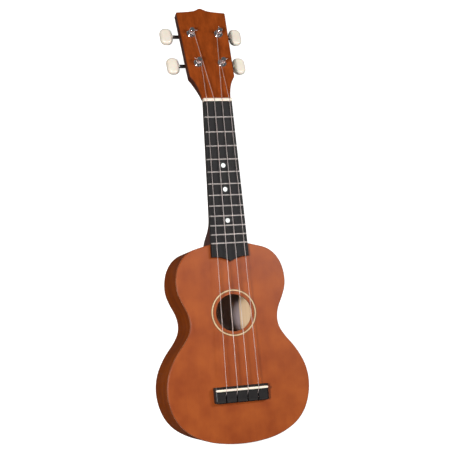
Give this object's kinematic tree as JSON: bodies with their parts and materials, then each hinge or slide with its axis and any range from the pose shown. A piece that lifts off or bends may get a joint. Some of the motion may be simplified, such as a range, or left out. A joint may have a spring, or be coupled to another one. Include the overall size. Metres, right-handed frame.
{
  "type": "ukulele",
  "caption": "Small four-string figure-eight ukulele lying on its back, with geared machine heads, fretted neck, slotted bridge and soundhole.",
  "frame": {"origin": "centre of the flat back: on the back face, on the centreline, midway between the tail and the neck joint", "axes": "+X to the treble side, +Y along the neck to the headstock, +Z out of the soundboard"},
  "size_m": [0.1758, 0.5419, 0.0736],
  "materials": {
    "body_mahogany": "satin",
    "neck_mahogany": "satin",
    "inner_wood": "matte",
    "dowel_beech": "matte",
    "fretboard_blackwood": "satin",
    "bridge_blackwood": "satin",
    "ring_cream": "satin",
    "line_black": "satin",
    "label_paper": "matte",
    "bone_white": "gloss",
    "fret_silver": "polished",
    "pearl_dot": "gloss",
    "nylon_string": "gloss",
    "button_cream": "gloss",
    "gear_brass": "machined",
    "tuner_chrome": "polished"
  },
  "bodies": {
    "root": {"back": "body_mahogany", "back_braces": "inner_wood", "back_linings": "inner_wood", "bridge": "bridge_blackwood", "bridge_patch": "inner_wood", "fretboard": "fretboard_blackwood", "frets": "fret_silver", "neck": "neck_mahogany", "neck_block": "inner_wood", "neck_dowels": "dowel_beech", "nut": "bone_white", "paper_label": "label_paper", "position_dots": "pearl_dot", "rosette_lines": "line_black", "rosette_ring": "ring_cream", "saddle": "bone_white", "side_bass": "body_mahogany", "side_treble": "body_mahogany", "soundboard": "body_mahogany", "string_a": "nylon_string", "string_c": "nylon_string", "string_e": "nylon_string", "string_g": "nylon_string", "tail_block": "inner_wood", "top_brace_lower": "inner_wood", "top_brace_upper": "inner_wood", "top_linings": "inner_wood", "tuner_a_bushing": "tuner_chrome", "tuner_a_plate": "tuner_chrome", "tuner_c_bushing": "tuner_chrome", "tuner_c_plate": "tuner_chrome", "tuner_e_bushing": "tuner_chrome", "tuner_e_plate": "tuner_chrome", "tuner_g_bushing": "tuner_chrome", "tuner_g_plate": "tuner_chrome", "tuner_screws": "tuner_chrome"},
    "tuner_g_worm": {"tuner_g_worm_shaft": "tuner_chrome", "tuner_g_button": "button_cream"},
    "tuner_g_post": {"tuner_g_post": "tuner_chrome", "tuner_g_gear": "gear_brass", "tuner_g_gear_screw": "tuner_chrome", "tuner_g_winding": "nylon_string"},
    "tuner_c_worm": {"tuner_c_worm_shaft": "tuner_chrome", "tuner_c_button": "button_cream"},
    "tuner_c_post": {"tuner_c_post": "tuner_chrome", "tuner_c_gear": "gear_brass", "tuner_c_gear_screw": "tuner_chrome", "tuner_c_winding": "nylon_string"},
    "tuner_e_worm": {"tuner_e_worm_shaft": "tuner_chrome", "tuner_e_button": "button_cream"},
    "tuner_e_post": {"tuner_e_post": "tuner_chrome", "tuner_e_gear": "gear_brass", "tuner_e_gear_screw": "tuner_chrome", "tuner_e_winding": "nylon_string"},
    "tuner_a_worm": {"tuner_a_worm_shaft": "tuner_chrome", "tuner_a_button": "button_cream"},
    "tuner_a_post": {"tuner_a_post": "tuner_chrome", "tuner_a_gear": "gear_brass", "tuner_a_gear_screw": "tuner_chrome", "tuner_a_winding": "nylon_string"}
  },
  "joints": [
    {"name": "tuner_g_button_turn", "type": "hinge", "parent": "root", "child": "tuner_g_worm", "pos_m": [-0.01545, 0.3456, 0.02914], "axis": [1, 0, 0], "continuous": true},
    {"name": "tuner_g_post_turn", "type": "hinge", "parent": "root", "child": "tuner_g_post", "pos_m": [-0.01545, 0.34456, 0.04645], "axis": [0, 0.3007, 0.9537], "continuous": true},
    {"name": "tuner_c_button_turn", "type": "hinge", "parent": "root", "child": "tuner_c_worm", "pos_m": [-0.0179, 0.38737, 0.01597], "axis": [1, 0, 0], "continuous": true},
    {"name": "tuner_c_post_turn", "type": "hinge", "parent": "root", "child": "tuner_c_post", "pos_m": [-0.0179, 0.38633, 0.03328], "axis": [0, 0.3007, 0.9537], "continuous": true},
    {"name": "tuner_e_button_turn", "type": "hinge", "parent": "root", "child": "tuner_e_worm", "pos_m": [0.0179, 0.38737, 0.01597], "axis": [1, 0, 0], "continuous": true},
    {"name": "tuner_e_post_turn", "type": "hinge", "parent": "root", "child": "tuner_e_post", "pos_m": [0.0179, 0.38633, 0.03328], "axis": [0, 0.3007, 0.9537], "continuous": true},
    {"name": "tuner_a_button_turn", "type": "hinge", "parent": "root", "child": "tuner_a_worm", "pos_m": [0.01545, 0.3456, 0.02914], "axis": [1, 0, 0], "continuous": true},
    {"name": "tuner_a_post_turn", "type": "hinge", "parent": "root", "child": "tuner_a_post", "pos_m": [0.01545, 0.34456, 0.04645], "axis": [0, 0.3007, 0.9537], "continuous": true}
  ],
  "couplings": [
    {"joint": "tuner_g_post_turn", "follows": "tuner_g_button_turn", "ratio": 0.071429},
    {"joint": "tuner_c_post_turn", "follows": "tuner_c_button_turn", "ratio": 0.071429},
    {"joint": "tuner_e_post_turn", "follows": "tuner_e_button_turn", "ratio": -0.071429},
    {"joint": "tuner_a_post_turn", "follows": "tuner_a_button_turn", "ratio": -0.071429}
  ]
}
